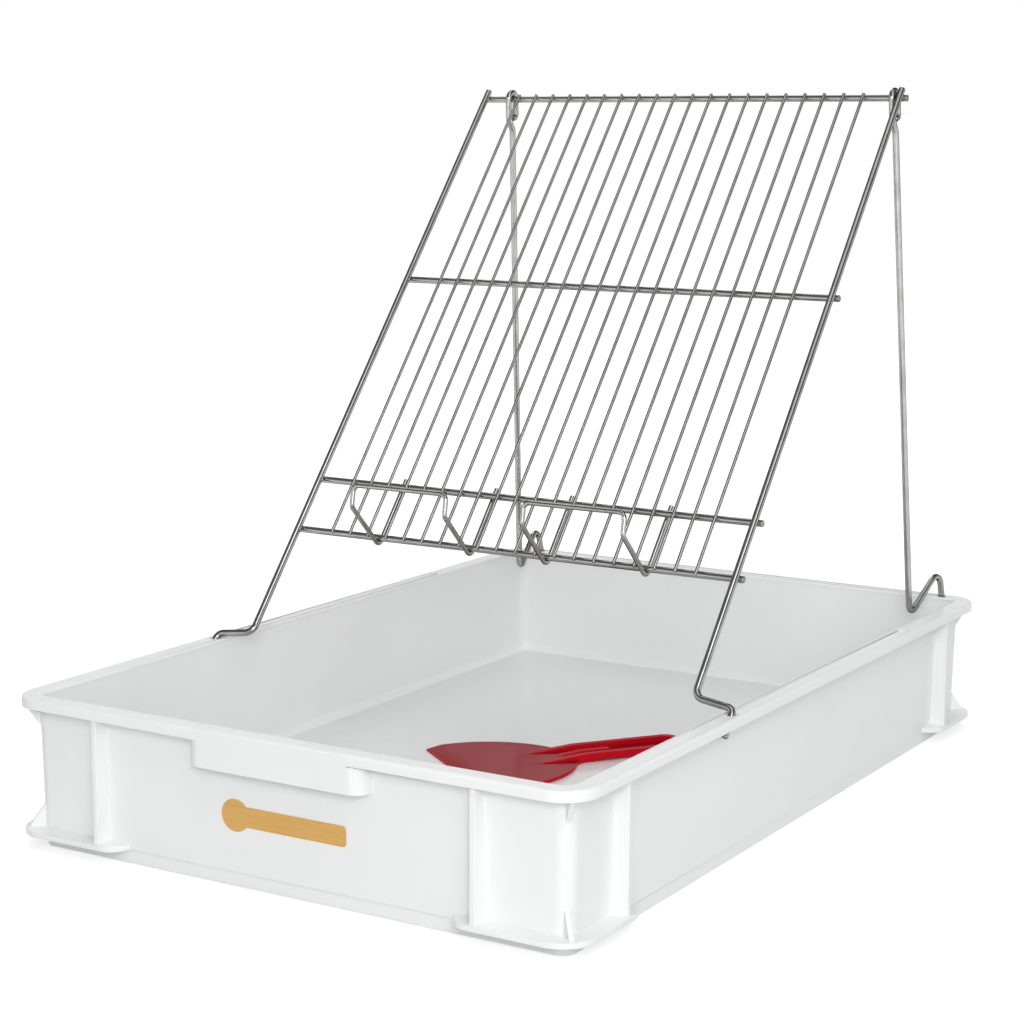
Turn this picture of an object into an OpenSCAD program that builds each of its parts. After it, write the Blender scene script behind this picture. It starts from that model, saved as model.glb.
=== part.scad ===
// Uncapping tray: a stackable plastic tray, a sloping wire rack that plugs into the tray's rim,
// two frame hooks welded to the rack, two hinged props behind it and a loose scraper.
// Millimetres. The origin is the middle of the tray's base, on the ground.
// X runs across the tray, Y runs from the front to the back and Z is up.

/* [Tray] */
// Length of the rim along Y
tray_l = 600; // [560:1:680]
// Width of the rim along X
tray_w = 400; // [380:1:460]
// Height of the rim's top above the ground
tray_h = 95; // [85:1:125]
// Radius of the rim's outer corners
rim_r = 22; // [21:0.5:28]
// Width of the rim's flat top
rim_w = 13.5; // [13:0.1:14.5]
// Wall thickness of the moulding
wall_t = 2.7; // [2:0.1:2.9]
// Depth of the lip under the rim, from the rim's top
lip_h = 6.5; // [5:0.1:10]
// Outward lean of each wall from the floor to the rim
wall_lean = 2; // [1:0.1:4]
// Radius of the rim's rounded top edges
rim_edge_r = 1.6; // [0.5:0.1:1.9]
// Height of the floor's upper face
floor_z = 12.5; // [12:0.1:18]
// Thickness of the floor
floor_t = 3; // [2:0.1:4]
// Radius of the cove between the floor and the walls
cove_r = 6; // [2:0.5:8]
// Setback of the plinth under the walls
plinth_step = 0.8; // [0.3:0.1:1.2]
// Thickness of the ribs under the floor
rib_t = 2; // [1.5:0.1:3]
// Number of ribs under the floor, which run across the tray
rib_n = 4; // [1:1:8]

/* [Tray outside] */
// Distance of the upright fins on the short sides from the tray's long sides
fin_in_x = 67; // [40:1:70]
// Distance of the upright fins on the long sides from the tray's short sides
fin_in_y = 60.5; // [40:0.5:80]
// Thickness of the fins
fin_t = 3.6; // [2.5:0.1:6]
// Setback of the fins and gussets from the rim's outline
fin_setback = 2; // [0.5:0.1:2.5]
// Height of the underside of the corner foot flanges
flange_z = 8.5; // [6:0.1:9]
// Thickness of the corner foot flanges
flange_t = 3.5; // [2.5:0.1:4]
// Length of a flange beyond the middle of a fin, before it turns back to the wall
flange_run = 3; // [2:0.5:14]
// Height of the triangular corner gussets
gusset_h = 16; // [10:0.5:20]
// Thickness of the corner gussets
gusset_t = 3; // [2:0.1:4]
// Width of the hand grips on the short sides
grip_w = 124; // [90:1:150]
// Depth of the hand grips below the rim's top
grip_h = 23; // [18:0.5:32]
// Radius of the hand grips' round ends
grip_r = 10; // [6:0.5:10.5]

/* [Rim holes] */
// Gap round the pegs and tails in the rim's holes
hole_gap = 1.15; // [1:0.05:1.2]
// Distance of the rack's peg holes from the front of the tray
peg_from_front = 194.5; // [160:0.5:230]
// Distance of the spare holes from the back of the tray
spare_from_back = 136; // [100:1:180]
// Distance of the prop holes inwards from the middle of the rim
prop_hole_in = 0.6; // [0.5:0.05:0.8]

/* [Rack] */
// Lean of the rack from upright
rack_lean = 39.6; // [36:0.1:43]
// Distance of the side rods inwards from the tray's sides
rod_in = 34; // [30:0.5:40]
// Diameter of the side rods
rod_d = 4.5; // [4:0.1:4.8]
// Diameter of the cross bars
bar_d = 4.5; // [4.4:0.1:5]
// Length of the side rods above their lower bend
rod_l = 471; // [440:1:500]
// Radius of the rods' lower bend
rod_bend_r = 7; // [5:0.5:9]
// Radius of the bend above the pegs
peg_bend_r = 5; // [4.5:0.1:5.5]
// Drop of the rods' outward step, along the rods
step_drop = 4; // [3:0.5:6]
// Length of the pegs below the outward step
peg_l = 19; // [14:0.5:24]
// Gap between the outward step and the rim at their nearest
seat_gap = 0.45; // [0.4:0.05:0.6]
// Place of the bottom bar along the rods
bar_bottom_at = 84.5; // [78:0.5:95]
// Distance of the lower bar above the bottom bar
bar_lower_up = 40.5; // [30:0.5:60]
// Distance of the upper bar below the top bar
bar_upper_down = 169; // [120:1:220]
// Length of the rods above the top bar
rod_over = 4.5; // [3:0.5:12]
// Length of the bars beyond the rods' middles
bar_over = 4; // [3:0.5:6]
// Depth to which crossing wires sink into each other at a weld
weld_sink = 0.15; // [0.05:0.05:0.2]

/* [Grid] */
// Diameter of the grid wires
grid_d = 2.2; // [1.8:0.1:2.6]
// Distance from a rod to the nearest grid wire
grid_margin = 27.7; // [26:0.1:34]
// Length of the grid wires beyond the middles of the end bars
grid_over = 1.5; // [1:0.1:1.8]

/* [Frame hooks] */
// Diameter of the hook wire
hook_d = 3.2; // [2.8:0.1:3.6]
// Grid gaps from the rack's middle to a hook's inner leg
hook_inner = 2; // [1:1:3]
// Grid gaps from the rack's middle to a hook's outer leg
hook_outer = 7; // [5:1:9]
// Length of the hooks' arms in front of the rods
hook_arm_l = 36; // [25:0.5:45]
// Rise of the hooks' arms from the loop to the front
hook_rise = 4; // [0:0.1:6]
// Rise of the hooks' upturned lips along the rods
hook_lip = 12.5; // [11:0.5:20]
// Forward lean of the hooks' lips
hook_lip_out = 7; // [0:0.5:12]
// Radius of the hooks' bends
hook_bend_r = 4.5; // [3.5:0.5:5]
// Length of the hooks' legs above the lower bar
hook_nub = 8; // [5:0.5:14]
// Gap between a hook's loop and the bottom bar
hook_gap = 0.3; // [0.25:0.05:0.5]

/* [Props] */
// Diameter of the prop wire
prop_d = 4.5; // [4:0.1:4.6]
// Distance of the left prop's eye inwards from the left rod
eye_left_in = 20; // [18:0.5:22]
// Distance of the right prop's eye inwards from the right rod
eye_right_in = 5.5; // [5.2:0.1:22]
// Gap between a prop's eye and the top bar
eye_gap = 0.4; // [0.3:0.05:0.6]
// Length of a prop's eye below the top bar
eye_l = 14; // [12:0.5:26]
// Length over which the eye's strand returns to the leg
eye_return = 9; // [8:0.5:14]
// Length of the turned-in end that closes the eye
eye_end_l = 5; // [4:0.1:5.2]
// Radius of the bend at the eye's turned-in end
eye_end_r = 3.2; // [2.8:0.1:3.6]
// Distance of the prop holes outwards from the rods
tail_out = 6.5; // [4:0.5:8]
// Distance of a prop's lower bend in front of its hole
foot_front = 46; // [36:0.5:52]
// Distance of a prop's lower bend inwards from its hole
foot_in = 7; // [0:0.5:10]
// Depth of a prop's lower bend below the rim's top
foot_depth = 8; // [3:0.5:10]
// Height of a prop's hump above the rim's top
hump_h = 22; // [17:0.5:26]
// Depth of a prop's tail below the rim's top
tail_depth = 9; // [6:0.5:12]
// Backward lean of a prop's tail from upright
tail_lean = 18; // [10:0.5:18]
// Radius of a prop's bends
prop_bend_r = 5; // [4:0.5:6]
// Radius of a prop's hump
hump_r = 9; // [5:0.5:10]

/* [Scraper] */
// Greatest width of the blade
blade_w = 113; // [95:1:120]
// Radius of the blade's round sides
blade_r = 70.8; // [66:0.1:76]
// Distance of the widest place from the working edge
blade_mid = 20; // [18:0.5:32]
// Thickness of the blade
blade_t = 2.4; // [1.8:0.1:2.5]
// Length of the bevel along the working edge
bevel_l = 12; // [6:0.5:16]
// Thickness of the blade at the working edge
edge_t = 0.8; // [0.5:0.1:1.2]
// Radius of the hollows between the blade and the handle
neck_r = 12; // [8:0.5:14]
// Length of the whole scraper
scraper_l = 169; // [160:1:200]
// Width of the handle
handle_w = 29; // [26:0.5:34]
// Height of the handle's sides
handle_h = 5; // [4:0.1:9]
// Radius of the handle's end corners
handle_r = 10; // [6:0.5:12.5]
// Height of the handle's underside above the blade's underside
handle_lift = 1; // [0.8:0.1:3]
// Length over which the handle's underside rises from the blade
lift_l = 14; // [8:0.5:20]
// Length of the two prongs that run from the handle's sides onto the blade
prong_l = 38; // [24:1:44]
// Width of the handle's sides
border = 4.5; // [3:0.1:5]
// Thickness of the handle between its sides
web_t = 1.6; // [1.5:0.1:3]
// Thickness of the rib along the hollow
spine_t = 4; // [3:0.1:5]
// Height of the rib along the hollow
spine_h = 2.2; // [1.5:0.1:2.3]
// Length of the rib in front of the neck
spine_front = 20; // [10:0.5:24]
// Length of the rib behind the neck
spine_back = 22; // [14:0.5:36]
// Turn of the scraper on the tray's floor
scraper_turn = 53; // [45:1:60]
// Place of the working edge's middle across the tray
scraper_x = -37.3; // [-50:0.1:-20]
// Place of the working edge's middle along the tray
scraper_y = -51.5; // [-80:0.1:-40]
// Gap between the scraper and the floor
rest_gap = 0.2; // [0.1:0.05:0.4]

/* [Hidden] */
$fn = 48;
overlap = 0.5;
// Bent wires: the gap beside each seam, the rise of the bead that closes it and the bead's turn
seam = 0.15;
seam_rise = 0.04;
bead_turn = 50;
// Number of grid wires, each of which is a node
grid_n = 20;
white = "#f1f2f2";
steel = "#a9a9a8";
red = "#c4161f";

// The rim's corner middles, from which the tray's section is measured outwards
mid_x = tray_w/2 - rim_r;
mid_y = tray_l/2 - rim_r;
rim_inner = rim_r - rim_w;
floor_edge = rim_inner - wall_lean;
lip_inner = rim_r - wall_t;
wall_top = rim_inner + wall_t;
wall_foot = floor_edge + wall_t;
wall_angle = atan(wall_lean/(tray_h - floor_z));
rim_under = tray_h - wall_t;
flange_top = flange_z + flange_t;
fin_edge = rim_r - fin_setback;

// The rim's holes lie halfway between the wall and the lip
hole_at = (wall_top + lip_inner)/2;
hole_reach = 3*wall_t;
peg_hole_d = rod_d + 2*hole_gap;
prop_hole_d = prop_d + 2*hole_gap;
prop_hole_l = (wall_t + overlap)/cos(tail_lean) + prop_hole_d/2*tan(tail_lean);
peg_x = mid_x + hole_at;
peg_y = peg_from_front - tray_l/2;
spare_y = tray_l/2 - spare_from_back;
prop_hole_y = mid_y + hole_at - prop_hole_in;

// The rods' lower bends: the pegs pass through the rim along the rack's own slope
rod_x = tray_w/2 - rod_in;
step_z = tray_h + rod_d/2 + seat_gap;
foot_z = step_z + step_drop*cos(rack_lean);
foot_y = peg_y + (foot_z - tray_h)*tan(rack_lean);
// Distances of the wires behind the rods' plane
bar_n = (rod_d + bar_d)/2 - weld_sink;
wire_n = bar_n - (bar_d + grid_d)/2 + weld_sink;
leg_n = bar_n + (bar_d + hook_d)/2 - weld_sink;
// Places of the bars along the rods
bar_top_at = rod_l - rod_over;
bar_upper_at = bar_top_at - bar_upper_down;
bar_lower_at = bar_bottom_at + bar_lower_up;
grid_step = 2*(rod_x - grid_margin)/(grid_n - 1);
hook_loop_r = (bar_d + hook_d)/2 + hook_gap;

// The props turn about the top bar
pivot = on_rack(0, bar_top_at, bar_n);
eye_r = (bar_d + prop_d)/2 + eye_gap;
prop_hole_x = rod_x + tail_out;

// The scraper's outline
side_off = blade_r - blade_w/2;
hollow_y = handle_w/2 + neck_r;
neck_x = blade_mid + sqrt(pow(blade_r + neck_r, 2) - pow(hollow_y + side_off, 2));
handle_top = handle_lift + handle_h;

// A point at x across the rack, t up the rods and n behind the rods' plane
function on_rack(x, t, n) = [x,
    foot_y + t*sin(rack_lean) + n*cos(rack_lean),
    foot_z + t*cos(rack_lean) - n*sin(rack_lean)];
function unit(v) = v/norm(v);
function heading(path, i) = unit(path[i + 1] - path[i]);
function turn(path, i) = acos(heading(path, i - 1)*heading(path, i));
// Length that the bend at point i takes from each straight beside it
function bend_cut(path, radii, i) =
    i == 0 || i == len(path) - 1 ? 0 : radii[i]*tan(turn(path, i)/2);
// Length of the straight after point i, between its two bends
function straight_l(path, radii, i) =
    norm(path[i + 1] - path[i]) - bend_cut(path, radii, i) - bend_cut(path, radii, i + 1);
// Distance of the wall's inner face from a corner's middle, at height z
function wall_at(z) = floor_edge + (z - floor_z)*tan(wall_angle);
function grid_name(i) = str("grid_wire_", i < 10 ? "0" : "", i);

// Moves the children to a point and lays their axes along x, y and z
module placed(x, y, z, at) {
    multmatrix([
        [x.x, y.x, z.x, at.x],
        [x.y, y.y, z.y, at.y],
        [x.z, y.z, z.z, at.z],
        [0, 0, 0, 1]])
        children();
}

// Moves the children to a point and lays their Z axis along a heading
module aimed(at, along) {
    side = unit(cross(abs(along.x) < 0.9 ? [1, 0, 0] : [0, 1, 0], along));
    placed(side, cross(along, side), along, at)
        children();
}

// A round bar of length l from a point along a heading
module straight(from, along, l, d) {
    aimed(from, along)
        cylinder(h = l, d = d);
}

// The bend of a wire at point i of its path, stopped short of its seams at both ends
module bend(path, radii, i, d) {
    ahead = heading(path, i - 1);
    after = heading(path, i);
    inward = unit(after - (ahead*after)*ahead);
    middle = path[i] - ahead*bend_cut(path, radii, i) + inward*radii[i];
    short = seam/radii[i]*180/PI;
    placed(-inward, ahead, cross(-inward, ahead), middle)
        rotate([0, 0, short])
            rotate_extrude(angle = turn(path, i) - 2*short)
                translate([radii[i], 0])
                    circle(d = d);
}

// A bead that joins a straight and a bend where they meet
module seam_bead(at, along, d) {
    aimed(at, along)
        rotate([0, 0, bead_turn])
            sphere(d = d + 2*seam_rise);
}

// A wire bent along a path, with a bend radius for each point between its ends
module bent_wire(path, radii, d) {
    last = len(path) - 1;
    for (i = [0:last - 1]) {
        l = straight_l(path, radii, i);
        start = i == 0 ? 0 : seam;
        stop = i == last - 1 ? 0 : seam;
        if (l > 2*seam)
            straight(path[i] + heading(path, i)*(bend_cut(path, radii, i) + start),
                heading(path, i), l - start - stop, d);
    }
    for (i = [1:last - 1]) {
        cut = bend_cut(path, radii, i);
        bend(path, radii, i, d);
        seam_bead(path[i] - heading(path, i - 1)*cut, heading(path, i - 1), d);
        if (straight_l(path, radii, i) > 2*seam)
            seam_bead(path[i] + heading(path, i)*cut, heading(path, i), d);
    }
}

// Copies the children to the four corners
module at_corners() {
    for (x = [0, 1], y = [0, 1])
        mirror([x, 0, 0])
            mirror([0, y, 0])
                children();
}

// Copies the children to the front and the back
module at_ends() {
    for (y = [0, 1])
        mirror([0, y, 0])
            children();
}

// The cove between the floor and a wall, in section
module cove_section() {
    cove_z = floor_z + cove_r;
    cove_u = wall_at(cove_z) - cove_r/cos(wall_angle);
    difference() {
        polygon([
            [cove_u, cove_z],
            [cove_u, floor_z - overlap],
            [floor_edge + wall_t/2, floor_z - overlap],
            [cove_u + (cove_r + overlap)*cos(wall_angle), cove_z - (cove_r + overlap)*sin(wall_angle)]]);
        translate([cove_u, cove_z])
            circle(r = cove_r);
    }
}

// Wall, rim, lip and plinth in section, measured outwards from a corner's middle
module wall_section() {
    difference() {
        union() {
            polygon([
                [floor_edge, 0],
                [floor_edge, floor_z],
                [rim_inner, tray_h],
                [rim_r, tray_h],
                [rim_r, tray_h - lip_h],
                [lip_inner, tray_h - lip_h],
                [lip_inner, rim_under],
                [wall_top, rim_under],
                [wall_foot, flange_z],
                [wall_foot - plinth_step, flange_z],
                [wall_foot - plinth_step, 0]]);
            translate([0, floor_z - floor_t])
                square([floor_edge + wall_t/2, floor_t]);
            cove_section();
        }
        translate([rim_r - rim_edge_r, tray_h - rim_edge_r])
            difference() {
                square(2*rim_edge_r);
                circle(r = rim_edge_r);
            }
        translate([rim_inner + rim_edge_r, tray_h - rim_edge_r])
            difference() {
                translate([-2*rim_edge_r, 0])
                    square(2*rim_edge_r);
                circle(r = rim_edge_r);
            }
    }
}

// The wall's section swept round the sides and the corners, with the floor inside it
module tray_shell() {
    for (x = [0, 1])
        mirror([x, 0, 0])
            translate([mid_x, mid_y, 0])
                rotate([90, 0, 0])
                    linear_extrude(2*mid_y)
                        wall_section();
    at_ends()
        translate([-mid_x, mid_y, 0])
            rotate([90, 0, 90])
                linear_extrude(2*mid_x)
                    wall_section();
    at_corners()
        translate([mid_x, mid_y, 0])
            rotate_extrude(angle = 90)
                intersection() {
                    wall_section();
                    square([rim_r, tray_h]);
                }
    translate([-mid_x, -mid_y, floor_z - floor_t])
        cube([2*mid_x, 2*mid_y, floor_t]);
}

// An upright fin between a flange and the rim, standing out along X from the wall
module fin() {
    rotate([90, 0, 0])
        linear_extrude(fin_t, center = true)
            polygon([
                [wall_at(flange_z) + wall_t/2, flange_z],
                [fin_edge, flange_z],
                [fin_edge, rim_under + overlap],
                [wall_at(rim_under) + wall_t/2, rim_under + overlap]]);
}

// A foot flange round one corner, with quarter-round ends beyond the fins
module foot_flange() {
    inner = floor_edge + wall_t/2;
    width = rim_r - inner;
    reach_x = fin_in_x + flange_run - rim_r;
    reach_y = fin_in_y + flange_run - rim_r;
    translate([mid_x, mid_y, flange_z]) {
        rotate_extrude(angle = 90)
            translate([inner, 0])
                square([width, flange_t]);
        translate([inner, -reach_y, 0])
            cube([width, reach_y, flange_t]);
        translate([-reach_x, inner, 0])
            cube([reach_x, width, flange_t]);
        translate([inner, -reach_y, 0])
            rotate([0, 0, -90])
                rotate_extrude(angle = 90)
                    square([width, flange_t]);
        translate([-reach_x, inner, 0])
            rotate([0, 0, 90])
                rotate_extrude(angle = 90)
                    square([width, flange_t]);
    }
}

// The triangular gussets under the rim and over the flange, on the diagonal of one corner
module corner_gussets() {
    translate([mid_x, mid_y, 0])
        rotate([90, 0, 45])
            linear_extrude(gusset_t, center = true) {
                polygon([
                    [wall_at(rim_under) + wall_t/2, rim_under + overlap],
                    [fin_edge, rim_under + overlap],
                    [fin_edge, tray_h - lip_h],
                    [wall_at(tray_h - lip_h - gusset_h) + wall_t/2, tray_h - lip_h - gusset_h]]);
                polygon([
                    [wall_at(flange_top) + wall_t/2, flange_top - overlap],
                    [fin_edge, flange_top - overlap],
                    [wall_at(flange_top + gusset_h) + wall_t/2, flange_top + gusset_h]]);
            }
}

// A hand grip's plan to the full depth of the rim, drawn in by a margin
module grip_plan(margin) {
    half = grip_w/2 - margin;
    r = grip_r - margin;
    reach = rim_r - margin;
    translate([-half, 0])
        square([2*half, reach - r]);
    translate([r - half, reach - r])
        square([2*(half - r), r]);
    for (side = [-1, 1])
        translate([side*(half - r), reach - r])
            circle(r = r);
}

// A hand grip: a skirt hung from the back rim, with round ends that meet the wall
module hand_grip() {
    grip_z = tray_h - grip_h;
    translate([0, mid_y, 0])
        intersection() {
            translate([0, 0, grip_z])
                linear_extrude(grip_h)
                    difference() {
                        grip_plan(0);
                        grip_plan(wall_t);
                    }
            rotate([90, 0, 90])
                linear_extrude(2*grip_w, center = true)
                    polygon([
                        [wall_at(grip_z) + wall_t/2, grip_z],
                        [rim_r, grip_z],
                        [rim_r, rim_under + overlap],
                        [wall_at(rim_under) + wall_t/2, rim_under + overlap]]);
        }
}

// Ribs across the tray under the floor, level with the plinth
module floor_ribs() {
    rib_w = tray_w - 2*(rim_r - floor_edge) + wall_t;
    bay = (tray_l - 2*(rim_r - floor_edge))/(rib_n + 1);
    for (i = [1:rib_n])
        translate([-rib_w/2, (i - (rib_n + 1)/2)*bay - rib_t/2, 0])
            cube([rib_w, rib_t, floor_z - floor_t/2]);
}

// The holes in the rim: slanted ones for the pegs and the props' tails, upright ones for spares
module rim_holes() {
    for (side = [-1, 1]) {
        translate([side*peg_x, peg_y, tray_h])
            rotate([-rack_lean, 0, 0])
                cylinder(h = 2*hole_reach, d = peg_hole_d, center = true);
        translate([side*peg_x, spare_y, tray_h])
            cylinder(h = 2*hole_reach, d = peg_hole_d, center = true);
        translate([side*prop_hole_x, prop_hole_y, tray_h])
            rotate([tail_lean, 0, 0])
                cylinder(h = 2*prop_hole_l, d = prop_hole_d, center = true);
    }
}

module tray() {
    color(white)
        difference() {
            union() {
                tray_shell();
                floor_ribs();
                at_corners() {
                    foot_flange();
                    corner_gussets();
                    translate([mid_x, tray_l/2 - fin_in_y, 0])
                        fin();
                    translate([tray_w/2 - fin_in_x, mid_y, 0])
                        rotate([0, 0, 90])
                            fin();
                }
                at_ends()
                    hand_grip();
            }
            rim_holes();
        }
}

// A side rod: straight up the slope, stepped outwards at its foot and turned down into a peg
module side_rod(side) {
    color(steel)
        bent_wire([
            on_rack(side*rod_x, rod_l, 0),
            on_rack(side*rod_x, 0, 0),
            on_rack(side*peg_x, -step_drop, 0),
            on_rack(side*peg_x, -step_drop - peg_l, 0)],
            [0, rod_bend_r, peg_bend_r, 0], rod_d);
}

// A bar across the back of the rods, at t up the slope
module cross_bar(t) {
    half = rod_x + bar_over;
    color(steel)
        straight(on_rack(-half, t, bar_n), [1, 0, 0], 2*half, bar_d);
}

// Grid wire i from the left, in front of the bars
module grid_wire(i) {
    bottom = on_rack(-rod_x + grid_margin + (i - 1)*grid_step, bar_bottom_at - grid_over, wire_n);
    color(steel)
        straight(bottom, unit(on_rack(0, 1, 0) - on_rack(0, 0, 0)),
            bar_top_at - bar_bottom_at + 2*grid_over, grid_d);
}

// A hook: two legs behind the bars, looped under the bottom bar, and a rail in front
module frame_hook(side) {
    inner = side*hook_inner*grid_step;
    outer = side*hook_outer*grid_step;
    nub_t = bar_lower_at + hook_nub;
    loop_t = bar_bottom_at - hook_loop_r;
    front_t = loop_t + hook_rise;
    rail_t = front_t + hook_lip;
    rail_n = -hook_arm_l - hook_lip_out;
    color(steel)
        bent_wire([
            on_rack(inner, nub_t, leg_n),
            on_rack(inner, loop_t, leg_n),
            on_rack(inner, front_t, -hook_arm_l),
            on_rack(inner, rail_t, rail_n),
            on_rack(outer, rail_t, rail_n),
            on_rack(outer, front_t, -hook_arm_l),
            on_rack(outer, loop_t, leg_n),
            on_rack(outer, nub_t, leg_n)],
            [0, hook_loop_r, hook_bend_r, hook_bend_r, hook_bend_r, hook_bend_r, hook_loop_r, 0],
            hook_d);
}

// A prop: a long eye closed round the top bar, a leg, a bend, a hump and a tail down into the rim
module prop(side, eye_x) {
    eye = [eye_x, pivot.y, pivot.z];
    tail_x = side*prop_hole_x;
    foot = [tail_x - side*foot_in, prop_hole_y - foot_front, tray_h - foot_depth];
    hump = [tail_x, prop_hole_y - hump_h*tan(tail_lean), tray_h + hump_h];
    tail = [tail_x, prop_hole_y + tail_depth*tan(tail_lean), tray_h - tail_depth];
    down = unit(foot - eye);
    // The eye's strands lie side by side, square to the bar
    aside = unit(cross([1, 0, 0], down));
    color(steel)
        bent_wire([
            eye + down*eye_l + aside*(eye_r - eye_end_l),
            eye + down*eye_l + aside*eye_r,
            eye - down*eye_r + aside*eye_r,
            eye - down*eye_r - aside*eye_r,
            eye + down*eye_l - aside*eye_r,
            eye + down*(eye_l + eye_return),
            foot,
            hump,
            tail],
            [0, eye_end_r, eye_r, eye_r, prop_bend_r, prop_bend_r, prop_bend_r, hump_r, 0], prop_d);
}

// The blade in plan: two round sides, a straight working edge and hollows at the neck
module blade_plan() {
    intersection() {
        translate([blade_mid, -side_off])
            circle(r = blade_r);
        translate([blade_mid, side_off])
            circle(r = blade_r);
        translate([0, -blade_w/2])
            square([neck_x, blade_w]);
    }
    difference() {
        for (side = [-1, 1])
            polygon([[blade_mid, -side*side_off], [neck_x, side*hollow_y], [neck_x, 0]]);
        for (side = [-1, 1])
            translate([neck_x, side*hollow_y])
                circle(r = neck_r);
    }
}

// A bar in plan from x0 to x1, with round corners at its far end
module handle_plan(x0, x1, w, r) {
    translate([x0, -w/2])
        square([x1 - r - x0, w]);
    translate([x1 - r, r - w/2])
        square([r, w - 2*r]);
    for (side = [-1, 1])
        translate([x1 - r, side*(w/2 - r)])
            circle(r = r);
}

// The handle: its plan cut to its side view and hollowed between its sides, whose ends run
// down onto the blade as two prongs, with a rib along the hollow
module scraper_handle() {
    start = neck_x - prong_l;
    hollow_z = handle_lift + web_t;
    difference() {
        intersection() {
            linear_extrude(handle_top)
                handle_plan(start, scraper_l, handle_w, handle_r);
            rotate([90, 0, 0])
                linear_extrude(2*handle_w, center = true)
                    polygon([
                        [start, 0],
                        [neck_x, 0],
                        [neck_x + lift_l, handle_lift],
                        [scraper_l, handle_lift],
                        [scraper_l, handle_top],
                        [neck_x, handle_top],
                        [start, blade_t]]);
        }
        translate([0, 0, hollow_z])
            linear_extrude(handle_h)
                handle_plan(start - overlap, scraper_l - border, handle_w - 2*border, handle_r - border);
    }
    rotate([90, 0, 0])
        linear_extrude(spine_t, center = true)
            polygon([
                [neck_x - spine_front, blade_t/2],
                [neck_x, blade_t/2],
                [neck_x + lift_l, handle_lift + web_t/2],
                [neck_x + spine_back, handle_lift + web_t/2],
                [neck_x + spine_back, hollow_z + spine_h],
                [neck_x, hollow_z + spine_h],
                [neck_x - spine_front, blade_t]]);
}

module scraper() {
    color(red)
        translate([scraper_x, scraper_y, floor_z + rest_gap])
            rotate([0, 0, scraper_turn]) {
                difference() {
                    linear_extrude(blade_t)
                        blade_plan();
                    translate([0, -blade_w, edge_t])
                        rotate([0, -atan((blade_t - edge_t)/bevel_l), 0])
                            translate([-bevel_l, 0, 0])
                                cube([3*bevel_l, 2*blade_w, 2*blade_t]);
                }
                scraper_handle();
            }
}

tray();
side_rod(-1);  // side_rod_left
side_rod(1);  // side_rod_right
cross_bar(bar_bottom_at);  // cross_bar_bottom
cross_bar(bar_lower_at);  // cross_bar_lower
cross_bar(bar_upper_at);  // cross_bar_upper
cross_bar(bar_top_at);  // cross_bar_top
for (i = [1:grid_n]) {
    grid_wire(i);
}
frame_hook(-1);  // frame_hook_left
frame_hook(1);  // frame_hook_right
prop(-1, eye_left_in - rod_x);  // prop_left
prop(1, rod_x - eye_right_in);  // prop_right
scraper();
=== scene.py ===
"""Looks of an uncapping tray: a white moulded tray, a sloping stainless wire rack with frame hooks
and hinged props, a red scraper on the tray's floor and a bare gold plate on the front wall."""
from __future__ import annotations

import logging
import math
from dataclasses import dataclass, field
from enum import Enum
from typing import Any

import bpy
from mathutils import Euler, Matrix, Vector

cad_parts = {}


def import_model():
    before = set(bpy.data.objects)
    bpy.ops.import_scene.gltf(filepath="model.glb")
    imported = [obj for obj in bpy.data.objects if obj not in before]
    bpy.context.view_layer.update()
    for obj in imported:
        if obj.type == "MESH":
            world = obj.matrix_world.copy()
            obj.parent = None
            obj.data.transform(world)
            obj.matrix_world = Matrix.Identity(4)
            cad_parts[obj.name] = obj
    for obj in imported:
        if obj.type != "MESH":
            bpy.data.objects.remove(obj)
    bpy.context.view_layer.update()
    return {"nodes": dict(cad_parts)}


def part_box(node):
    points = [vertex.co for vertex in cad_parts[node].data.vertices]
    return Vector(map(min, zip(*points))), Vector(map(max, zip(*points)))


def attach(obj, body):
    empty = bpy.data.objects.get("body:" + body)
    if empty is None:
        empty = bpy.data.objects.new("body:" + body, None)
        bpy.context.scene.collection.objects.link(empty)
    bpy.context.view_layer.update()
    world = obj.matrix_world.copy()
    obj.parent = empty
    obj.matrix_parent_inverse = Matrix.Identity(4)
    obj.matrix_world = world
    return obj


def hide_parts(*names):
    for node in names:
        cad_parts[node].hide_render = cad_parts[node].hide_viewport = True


Tree = bpy.types.NodeTree
Socket = bpy.types.NodeSocket
Material = bpy.types.Material
Piece = bpy.types.Object
Span = tuple[float, float]
Triple = tuple[float, float, float]

log = logging.getLogger("uncapping_tray")
MM = 0.001

# Spans of a noise's values, which lie about 0.5, that are stretched to a whole range
WIDE = (0.3, 0.7)
MOST = (0.35, 0.7)
EVEN = (0.35, 0.65)
SHARE = (0.0, 1.0)

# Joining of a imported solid's triangles: millimetres between points, and degrees between faces
SAME_POINT = 0.002
QUAD_ANGLE = 0.5
QUAD_SKEW = 60.0
LEVEL_ANGLE = 0.3

# Rounding and shading, in degrees: the least angle rounded, and the angle shaded smooth below
MOULD_EDGE_FROM = 32.0
MOULD_SMOOTH_TO = 40.0
WIRE_EDGE_FROM = 60.0
WIRE_SMOOTH_TO = 42.0
BEVEL_STEPS = 2
LARGE_FACE_WEIGHT = 100

# A shaded edge: rays per look, and how far the rounded normal leaves the surface's own
EDGE_SAMPLES = 4
EDGE_MATCH = (0.99, 0.85)


class Slot(Enum):
    """Names for the material slots of the new pieces; nothing in the script uses them."""

    TRAY = "tray_plastic"
    WIRE = "stainless_wire"
    SCRAPER = "scraper_plastic"
    PLATE = "label_plate"


class Grain(Enum):
    """The way a wire was drawn, as the turn about X that lays it upright, and its axis."""

    SLOPE = (39.6, 2)
    ACROSS = (0.0, 0)
    UPRIGHT = (14.0, 2)


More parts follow.
